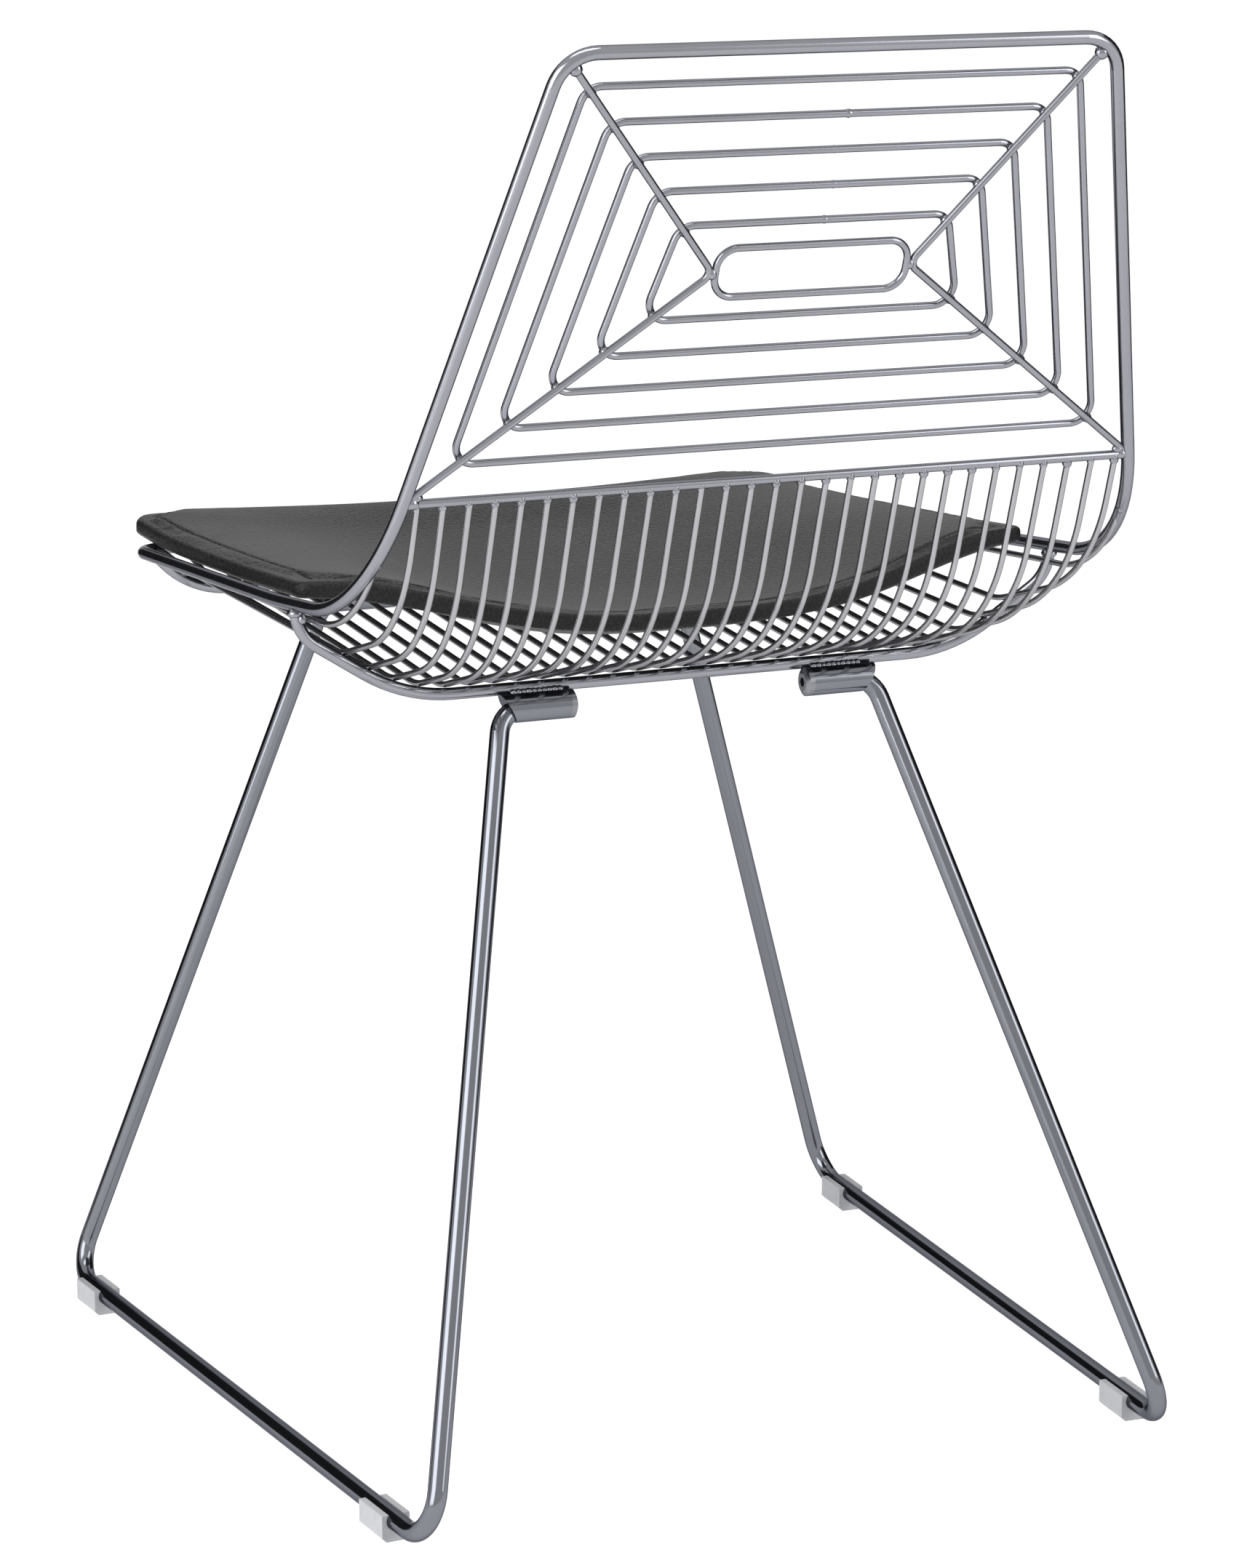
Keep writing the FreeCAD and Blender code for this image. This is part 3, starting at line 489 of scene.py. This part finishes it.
def puffed(mesh):
    # the cloth swells a little under its filling; only the upper face may rise
    copy = linkObject("padTrial", mesh.copy())
    cloth = copy.modifiers.new("swell", "CLOTH")
    cloth.settings.use_pressure = True
    cloth.settings.uniform_pressure_force = 4.0
    cloth.settings.mass = 0.4
    cloth.settings.effector_weights.gravity = 0.0
    cloth.settings.tension_stiffness = cloth.settings.compression_stiffness = 20.0
    scene = bpy.context.scene
    scene.frame_start, scene.frame_end = 1, 20
    for step in range(1, pad["simFrames"] + 1):
        scene.frame_set(step)
    evaluated = copy.evaluated_get(bpy.context.evaluated_depsgraph_get())
    result = bpy.data.meshes.new_from_object(evaluated)
    for flat, swollen in zip(mesh.vertices, result.vertices):
        move = swollen.co - flat.co
        limit = pad["puffLimit"] * mm
        if move.length > limit:
            move *= limit / move.length
        low = padUnderside(flat.co.x / mm, flat.co.y / mm) * mm
        share = min(max((flat.co.z - low) / (pad["edge"] * mm), 0), 1)
        move.z = max(move.z, 0)
        flat.co += Vector((0.3 * move.x, 0.3 * move.y, move.z)) * share
    bpy.data.objects.remove(copy)
    scene.frame_set(1)


def pressSeam(mesh, rings, count):
    # the thread pulls the cover down along one ring, with a soft shoulder either side
    for offset, share in ((-1, 0.35), (0, 1.0), (1, 0.35)):
        for k in range(count):
            mesh.vertices[rings[pad["seamRing"] + offset] + k].co.z -= pad["seamDepth"] * share * mm


coverMesh, padRings, ringCount = padMesh()
padCover = linkObject("padCover", coverMesh)
puffed(coverMesh)
pressSeam(coverMesh, padRings, ringCount)
coverMesh.materials.append(fieldLeather)
coverMesh.materials.append(sideShadeLeather)
# painted shade: the faces of the outer lip and of the underside take the darker leather
for face in coverMesh.polygons:
    face.use_smooth = True
    outer = any(padRings[0] <= i < padRings[3] + ringCount for i in face.vertices)
    under = all(i >= padRings[-1] + ringCount for i in face.vertices) and face.normal.z < 0
    face.material_index = 1 if outer or under else 0
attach(padCover, "seat_pad")
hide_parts("pad_top_cover", "pad_foam", "pad_bottom_cover")
print("pad ready:", len(coverMesh.vertices), "points")

# Beads of weld and stitches, set out by one tree each

def spots(name, places, sizes, turns):
    # a mesh of bare points; each carries the size and the turn of what is set there
    mesh = bpy.data.meshes.new(name)
    mesh.from_pydata([[c * mm for c in p] for p in places], [], [])
    for key, rows in (("spotSize", sizes), ("spotTurn", turns)):
        layer = mesh.attributes.new(key, "FLOAT_VECTOR", "POINT")
        for item, row in zip(layer.data, rows):
            item.vector = row
    return linkObject(name, mesh)


def scatterTree(name, material, vary):
    tree = bpy.data.node_groups.new(name, "GeometryNodeTree")
    tree.interface.new_socket("Geometry", in_out="INPUT", socket_type="NodeSocketGeometry")
    for label, value in (("Unit radius", mm), ("Variation", vary)):
        socket = tree.interface.new_socket(label, in_out="INPUT", socket_type="NodeSocketFloat")
        socket.default_value = value
    tree.interface.new_socket("Geometry", in_out="OUTPUT", socket_type="NodeSocketGeometry")
    source = addNode(tree, "NodeGroupInput")
    blob = addNode(tree, "GeometryNodeMeshIcoSphere", None,
                   {"Radius": source.outputs["Unit radius"], "Subdivisions": 2})
    smooth = addNode(tree, "GeometryNodeSetShadeSmooth", None, {"Geometry": blob.outputs["Mesh"]})
    size = addNode(tree, "GeometryNodeInputNamedAttribute", {"data_type": "FLOAT_VECTOR"},
                   {"Name": "spotSize"})
    turn = addNode(tree, "GeometryNodeInputNamedAttribute", {"data_type": "FLOAT_VECTOR"},
                   {"Name": "spotTurn"})
    low = addNode(tree, "ShaderNodeMath", {"operation": "SUBTRACT"},
                  {0: 1.0, 1: source.outputs["Variation"]})
    high = addNode(tree, "ShaderNodeMath", {"operation": "ADD"},
                   {0: 1.0, 1: source.outputs["Variation"]})
    chance = addNode(tree, "FunctionNodeRandomValue", {"data_type": "FLOAT"}, {"Seed": 7})
    tree.links.new(low.outputs[0], chance.inputs[2])  # the smallest and largest of the plain numbers
    tree.links.new(high.outputs[0], chance.inputs[3])
    scaled = addNode(tree, "ShaderNodeVectorMath", {"operation": "SCALE"},
                     {0: size.outputs["Attribute"], "Scale": chance.outputs[1]})
    spread = addNode(tree, "GeometryNodeInstanceOnPoints", None,
                     {"Points": source.outputs["Geometry"], "Instance": smooth.outputs[0],
                      "Rotation": turn.outputs["Attribute"], "Scale": scaled.outputs[0]})
    solid = addNode(tree, "GeometryNodeRealizeInstances", None, {"Geometry": spread.outputs[0]})
    coat = addNode(tree, "GeometryNodeSetMaterial", None,
                   {"Geometry": solid.outputs[0], "Material": material})
    addNode(tree, "NodeGroupOutput", None, {"Geometry": coat.outputs[0]})
    return tree


def grow(name, source, tree, material, body):
    # apply the tree to the points and keep the outcome as a plain mesh on one body
    modifier = source.modifiers.new("grow", "NODES")
    modifier.node_group = tree
    evaluated = source.evaluated_get(bpy.context.evaluated_depsgraph_get())
    mesh = bpy.data.meshes.new_from_object(evaluated)
    mesh.materials.clear()
    mesh.materials.append(material)
    bpy.data.objects.remove(source)
    piece = linkObject(name, mesh)
    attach(piece, body)
    return piece


# Sizes of the backrest as the CAD model has them, in millimetres and degrees
back = {
    "beltBack": 190.9, "beltHeight": 564.5, "recline": 18.5, "length": 247.7, "topHalf": 156.9,
    "flare": 13.24, "vertexHalf": 57.0, "vertexRise": 123.0,
    "topPitch": 19.75, "lowFirst": 19.3, "lowPitch": 19.1, "wirePitch": 14.8,
}
lean = math.radians(back["recline"])
beltHalf = back["topHalf"] + back["length"] * math.tan(math.radians(back["flare"]))


def onBack(x, rise, lift=0.0):
    # lift is the distance in front of the backrest plane
    return (x, back["beltBack"] + rise * math.sin(lean) - lift * math.cos(lean),
            back["beltHeight"] + rise * math.cos(lean) + lift * math.sin(lean))


# Each weld bead: where it sits, then its half width, half depth and half height
welds = {
    "wiresEachSide": 14, "loops": 5, "variation": 0.14,
    "wireUnder": ((0.0, -2.6, 0.6), (2.7, 2.3, 3.6)),
    "wireBehind": ((1.0, -0.6, -1.6), (1.8, 1.5, 1.8)),
    "loopSize": (2.9, 2.7, 2.7), "loopTop": (-2.1, -2.7, 1.8), "loopFoot": (-5.2, 4.0, 1.8),
    "buttSize": (3.6, 2.2, 2.3), "buttPlaces": [-6, -9, -4, -7, -5], "buttLift": 4.0,
    # across, up the backrest and in front of it; mirrored
    "backBeads": [((57.6, 123.0, 0.0), (3.0, 2.7, 3.4)),
                  ((150.0, 239.1, 0.0), (3.6, 3.0, 3.6)),
                  ((beltHalf - 4.5, 0.5, 0.0), (4.4, 3.2, 3.3)),
                  ((beltHalf - 7.0, 3.6, 0.0), (4.0, 2.6, 2.8))],
    # x, y, z on the seat rim; mirrored
    "rimBeads": [((222.0, 171.8, 531.5), (2.6, 3.0, 4.0)),
                 ((232.4, 73.1, 488.6), (4.3, 4.4, 2.6)),
                 ((218.0, -194.5, 471.8), (4.0, 4.2, 3.0)),
                 ((229.6, 76.6, 485.6), (2.4, 2.0, 2.6))],
    # rows beside the leg sockets: y and z
    "socketRows": [(77.3, 434.8), (73.0, 432.0), (-191.6, 450.4), (-197.4, 450.4)],
    "socketFirst": 78.5, "socketPitch": 3.1, "socketBeads": 10, "socketSize": (2.3, 2.3, 2.1),
}


def frameBeads():
    rows = []
    count = welds["wiresEachSide"]
    for k in range(-count, count + 1):
        for (aside, rise, lift), size in (welds["wireUnder"], welds["wireBehind"]):
            rows.append((onBack(k * back["wirePitch"] + aside, rise, lift), size))
    for side in (-1, 1):
        for k in range(1, welds["loops"] + 1):
            top = back["length"] - k * back["topPitch"]
            share = (top - back["vertexRise"]) / (back["length"] - back["vertexRise"])
            x = back["vertexHalf"] + (back["topHalf"] - back["vertexHalf"]) * share
            aside, rise, lift = welds["loopTop"]
            rows.append((onBack(side * (x + aside), top + rise, lift), welds["loopSize"]))
            low = back["lowFirst"] + (k - 1) * back["lowPitch"]
            x = beltHalf + (back["vertexHalf"] - beltHalf) * low / back["vertexRise"]
            aside, rise, lift = welds["loopFoot"]
            rows.append((onBack(side * (x + aside), low + rise, lift), welds["loopSize"]))
        rows += [(onBack(side * x, rise, lift), size) for (x, rise, lift), size in welds["backBeads"]]
        rows += [((side * x, y, z), size) for (x, y, z), size in welds["rimBeads"]]
    for k, x in enumerate(welds["buttPlaces"]):
        rise = back["length"] - (k + 1) * back["topPitch"]
        rows.append((onBack(x, rise, welds["buttLift"]), welds["buttSize"]))
    return rows


def socketBeads():
    rows = []
    for side in (-1, 1):
        for k in range(welds["socketBeads"]):
            x = side * (welds["socketFirst"] + k * welds["socketPitch"])
            rows += [((x, y, z), welds["socketSize"]) for y, z in welds["socketRows"]]
    return rows


def addBeads():
    for name, rows, slot in (("weldBeadsFrame", frameBeads(), "frame_steel"),
                             ("weldBeadsSockets", socketBeads(), "leg_steel")):
        places, sizes = zip(*rows)
        source = spots(name + "Spots", places, sizes, [(0.0, 0.0, 0.0)] * len(places))
        tree = scatterTree(name + "Tree", frameCoat, welds["variation"])
        grow(name, source, tree, frameCoat, "chair_frame")
        print(name, len(places))


def addStitches():
    ring = padRing(pad["stitchInset"] + pad["shrink"])
    route = [Vector((p.x, p.y, 0)) for p in ring]
    places, turns = [], []
    left = 0.0
    for a, b in zip(route, route[1:] + route[:1]):
        span = (b - a).length
        while left < span:
            p = a.lerp(b, left / span)
            low = padUnderside(p.x, p.y) + padThickness(p.x, p.y)
            places.append((p.x, p.y, low + pad["stitchLift"]))
            turns.append((0.0, 0.0, math.atan2(b.y - a.y, b.x - a.x)))
            left += pad["stitchPitch"]
        left -= span
    source = spots("stitchSpots", places, [pad["stitchSize"]] * len(places), turns)
    tree = scatterTree("stitchTree", thread, pad["stitchVariation"])
    grow("padStitches", source, tree, thread, "seat_pad")
    print("stitches", len(places))


addBeads()
addStitches()
